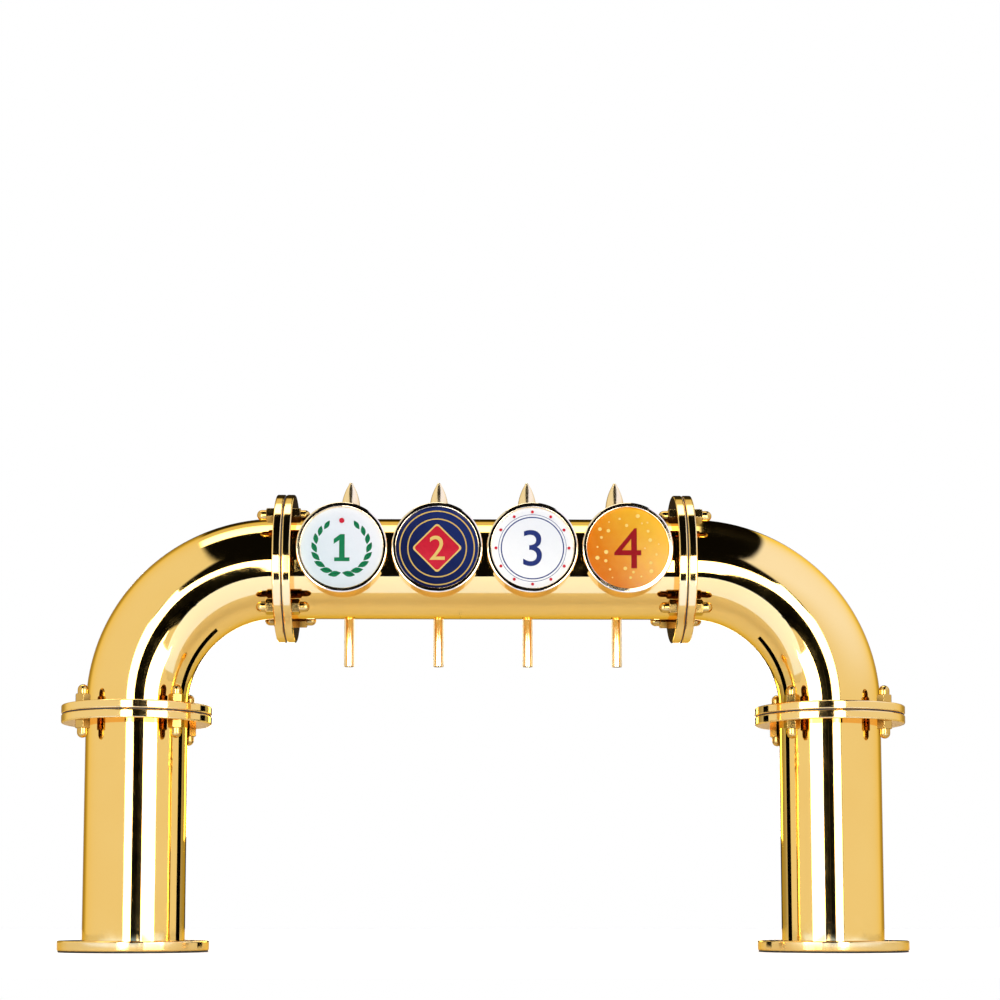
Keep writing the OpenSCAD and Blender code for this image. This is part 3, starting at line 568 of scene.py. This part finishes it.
def print_faces():
    """Raised printing on the faces: a wreath, a lozenge, a ring of dots, and bubbles, each with a number."""
    number(1, GREEN_INK)
    leaves = []
    for step in range(LEAF_PAIRS):
        for side in (-1, 1):
            angle = -math.pi / 2 + side * (0.26 + step * 0.33)
            leaves.append((WREATH_R, angle, angle + side * (math.pi / 2 - LEAF_LEAN), 1 - 0.03 * step))
    settle(copies_on_face(leaf(), 1, leaves), "leaf_wreath_1", GREEN_INK)
    berry = copies_on_face(dome(BERRY_R, RELIEF), 1, [(WREATH_R, math.pi / 2, 0, 1)])
    settle(berry, "berry_1", RED_INK)

    middle = [(0, 0, 0, 1)]
    rim = copies_on_face(lozenge(LOZENGE_W, LOZENGE_W, RELIEF), 2, middle)
    settle(rim, "lozenge_rim_2", GOLD_INK)
    field = copies_on_face(lozenge(LOZENGE_INNER_W, LOZENGE_INNER_W, LOZENGE_H), 2, middle)
    settle(field, "lozenge_2", RED_INK)
    number(2, GOLD_INK, lift=LOZENGE_H)

    number(3, NAVY_INK)
    around = [(DOT_RING_R, step * 2 * math.pi / DOTS, 0, 1) for step in range(DOTS)]
    settle(copies_on_face(dome(DOT_R, RELIEF), 3, around), "red_dots_3", RED_INK)

    number(4, DARK_RED_INK)
    bubbles = []
    for step in range(BUBBLES):
        reach = 17 + 17 * math.sqrt(((step * 7) % BUBBLES) / BUBBLES)
        bubbles.append((reach * MM, step * BUBBLE_TURN, 0, 0.5 + ((step * 5) % 7) / 7))
    settle(copies_on_face(dome(DOT_R, RELIEF), 4, bubbles), "bubbles_4", CLEAR_INK)


def add_camera():
    data = bpy.data.cameras.new("camera")
    data.sensor_width = SENSOR
    data.lens = FOCAL_PX * SENSOR / FRAME_PX
    data.shift_x = 0.5 - CENTRE_X_PX / FRAME_PX
    data.shift_y = CENTRE_Y_PX / FRAME_PX - 0.5
    camera = bpy.data.objects.new("camera", data)
    camera.location = CAMERA_PLACE
    camera.rotation_euler = (math.pi / 2 + CAMERA_PITCH, 0, -CAMERA_TURN)
    bpy.context.scene.collection.objects.link(camera)
    bpy.context.scene.camera = camera


def add_floor():
    """A sheet of matt white paper, whose front edge is below the camera's view."""
    bpy.ops.mesh.primitive_plane_add(size=FLOOR_SIZE, location=(0, FLOOR_Y, 0))
    floor = bpy.context.object
    floor.name = "paper_floor"
    floor.data.materials.append(matt_paper())


def black_velvet():
    """Studio velvet: black and matt, with the faint streaks of its brushed pile."""
    material, tree, coords = new_material("black_velvet")
    pile = node(tree, "ShaderNodeTexNoise", {"Scale": 1 / (30 * MM), "Detail": 4.0}, {"Vector": coords})
    tone = node(tree, "ShaderNodeMix", {"data_type": "RGBA", 6: srgb("#010101"), 7: srgb("#030303")},
                {0: pile.outputs["Fac"]})
    finish_material(tree, {"Roughness": 1.0, "Specular IOR Level": 0.0}, {"Base Color": tone.outputs[2]})
    return material


def add_flag(name, near, far, height, velvet):
    """A black flag on the floor, from near to far in Y, that stands edge on to the camera, so that only the
    metal beside it mirrors it."""
    place = (CAMERA_PLACE[0], (near + far) / 2, height / 2)
    bpy.ops.mesh.primitive_plane_add(size=1, location=place, rotation=(0, math.pi / 2, 0))
    flag = bpy.context.object
    flag.name = name
    flag.scale = (height, far - near, 1)
    bpy.ops.object.transform_apply(location=True, rotation=True, scale=True)
    flag.data.materials.append(velvet)
    flag.visible_camera = False
    flag.visible_diffuse = False
    flag.visible_shadow = False


def add_flags():
    """One flag in front of the bridge and one behind it, for the dark lines along the legs."""
    velvet = black_velvet()
    add_flag("front_flag", near=-1.5, far=-0.74, height=0.62, velvet=velvet)
    add_flag("back_flag", near=0.13, far=0.26, height=0.31, velvet=velvet)


def add_softbox(name, place, turn, size, radiance, colour=(1, 1, 1), gloss=True, matt=True):
    """A flat lamp of even brightness, set up as the camera sees the object. Gloss and matt say which
    surfaces it shows on and lights."""
    lamp = bpy.data.lights.new(name, "AREA")
    lamp.shape = "RECTANGLE"
    lamp.size, lamp.size_y = size
    lamp.color = colour
    lamp.energy = radiance * math.pi * size[0] * size[1]
    box = bpy.data.objects.new(name, lamp)
    x, y, z = place
    box.location = (
        x * math.cos(CAMERA_TURN) + y * math.sin(CAMERA_TURN),
        y * math.cos(CAMERA_TURN) - x * math.sin(CAMERA_TURN),
        z,
    )
    box.rotation_euler = (turn[0], turn[1], turn[2] - CAMERA_TURN)
    box.visible_camera = False
    box.visible_glossy = gloss
    box.visible_diffuse = matt
    bpy.context.scene.collection.objects.link(box)


def add_lamps():
    """Reflector cards by the legs and on the floor, tall lamps beside the camera and behind, and soft
    light."""
    ahead = (math.pi / 2, 0, 0)
    back = (math.pi / 2, 0, math.pi)
    upwards = (math.pi, 0, 0)
    downwards = (0, 0, 0)
    tipped_down = (math.radians(84), 0, 0)
    for side in (-1, 1):
        inward = (math.pi / 2, 0, side * math.pi / 2)
        add_softbox("leg_card", place=(side * 0.4035, -0.6, 0.225), turn=ahead, size=(0.171, 0.45),
                    radiance=CARD_RADIANCE, matt=False)
        add_softbox("side_card", place=(side * 0.445, -1.1, 0.265), turn=inward, size=(1.0, 0.53),
                    radiance=CARD_RADIANCE, matt=False)
        add_softbox("tall_lamp", place=(side * 0.58, -2.2, 0.3), turn=ahead, size=(0.44, 1.0),
                    radiance=CARD_RADIANCE, matt=False)
        add_softbox("back_lamp", place=(side * 0.58, 2.2, 0.5), turn=back, size=(0.44, 0.6),
                    radiance=CARD_RADIANCE, matt=False)
    add_softbox("floor_card", place=(0, -0.5, FLOOR_GAP), turn=upwards, size=(2.0, 0.6),
                radiance=1.0, colour=COOL, matt=False)
    add_softbox("top_light", place=(0, 0.2, 2.6), turn=downwards, size=(4.0, 4.0),
                radiance=0.55, gloss=False)
    add_softbox("front_light", place=(0, -3.0, 0.8), turn=tipped_down, size=(3.0, 1.4),
                radiance=5.0, gloss=False)


def add_studio():
    """Dim room: grey walls at the sides, a dark front, a lit strip overhead and a darker wall behind. In
    polished metal the right side also shows cool window light high on its wall, and no lit strip."""
    world = bpy.data.worlds.new("studio")
    bpy.context.scene.world = world
    world.use_nodes = True
    tree = world.node_tree
    tree.nodes.clear()
    way = node(tree, "ShaderNodeTexCoord").outputs["Generated"]
    axes = node(tree, "ShaderNodeSeparateXYZ", links={"Vector": way}).outputs
    ahead = node(tree, "ShaderNodeMath", {"operation": "MULTIPLY", 1: -1.0}, {0: axes["Y"]}).outputs[0]
    aside = node(tree, "ShaderNodeMath", {"operation": "ABSOLUTE"}, {0: axes["X"]}).outputs[0]
    over = node(tree, "ShaderNodeMath", {"operation": "ARCTAN2"}, {0: axes["Z"], 1: ahead}).outputs[0]
    share = node(tree, "ShaderNodeMath", {"operation": "DIVIDE", 1: math.pi}, {0: over}).outputs[0]
    room = node(tree, "ShaderNodeValToRGB", links={"Fac": share})
    steps = room.color_ramp.elements
    steps[0].position = 0.0
    steps[0].color = (DARK_TONE, DARK_TONE, DARK_TONE, 1)
    steps[1].position = 1.0
    steps[1].color = (BACK_TONE, BACK_TONE, BACK_TONE, 1)
    for angle, tone in ROOM_TONES:
        step = steps.new(angle / 180)
        step.color = (tone, tone, tone, 1)
    path = node(tree, "ShaderNodeLightPath").outputs
    half = node(tree, "ShaderNodeMapRange", {
        "interpolation_type": "SMOOTHSTEP", "From Min": 0.12, "From Max": 0.16,
    }, {"Value": axes["X"]}).outputs["Result"]
    right = node(tree, "ShaderNodeMath", {"operation": "MULTIPLY"},
                 {0: half, 1: path["Is Glossy Ray"]}).outputs[0]
    ceiling = node(tree, "ShaderNodeMix", {"data_type": "RGBA", 7: (DARK_TONE, DARK_TONE, DARK_TONE, 1)},
                   {0: right, 6: room.outputs["Color"]}).outputs[2]
    slant = node(tree, "ShaderNodeMath", {"operation": "MULTIPLY", 1: WALL_SLANT_UP},
                 {0: axes["Z"]}).outputs[0]
    low = node(tree, "ShaderNodeMath", {"operation": "MULTIPLY_ADD", 1: WALL_SLANT_DOWN, 2: WALL_LIMIT},
               {0: axes["Z"]}).outputs[0]
    wide = node(tree, "ShaderNodeMath", {"operation": "MAXIMUM", 1: WALL_LIMIT}, {0: low}).outputs[0]
    limit = node(tree, "ShaderNodeMath", {"operation": "MAXIMUM"}, {0: slant, 1: wide}).outputs[0]
    past = node(tree, "ShaderNodeMath", {"operation": "SUBTRACT"}, {0: aside, 1: limit}).outputs[0]
    side = node(tree, "ShaderNodeMapRange", {
        "interpolation_type": "SMOOTHSTEP", "From Min": -WALL_BLUR, "From Max": WALL_BLUR,
    }, {"Value": past}).outputs["Result"]
    wall = node(tree, "ShaderNodeMapRange", {
        "interpolation_type": "SMOOTHSTEP",
        "From Min": 0.5, "From Max": 0.8, "To Min": WALL_TONE, "To Max": BACK_WALL_TONE,
    }, {"Value": axes["Y"]}).outputs["Result"]
    raised = node(tree, "ShaderNodeMapRange", {
        "interpolation_type": "SMOOTHSTEP", "From Min": 0.05, "From Max": 0.6,
    }, {"Value": axes["Z"]}).outputs["Result"]
    window = node(tree, "ShaderNodeMath", {"operation": "MULTIPLY"}, {0: right, 1: raised}).outputs[0]
    walls = node(tree, "ShaderNodeMix", {"data_type": "RGBA", 7: WINDOW_LIGHT},
                 {0: window, 6: wall}).outputs[2]
    glow = node(tree, "ShaderNodeMix", {"data_type": "RGBA"}, {0: side, 6: ceiling, 7: walls})
    dimmed = node(tree, "ShaderNodeMath", {"operation": "MULTIPLY_ADD", 1: -MATT_DIMMING, 2: 1.0},
                  {0: path["Is Diffuse Ray"]}).outputs[0]
    studio = node(tree, "ShaderNodeBackground", links={"Color": glow.outputs[2], "Strength": dimmed})
    backdrop = node(tree, "ShaderNodeBackground", {"Color": srgb("#FFFFFF"), "Strength": 1.0})
    both = node(tree, "ShaderNodeMixShader", links={
        0: path["Is Camera Ray"], 1: studio.outputs["Background"], 2: backdrop.outputs["Background"],
    })
    node(tree, "ShaderNodeOutputWorld", links={"Surface": both.outputs["Shader"]})


bpy.ops.object.select_all(action="DESELECT")
bpy.context.scene.view_settings.view_transform = "Standard"
add_camera()
dress_nodes()
print_faces()
add_floor()
add_flags()
add_studio()
add_lamps()
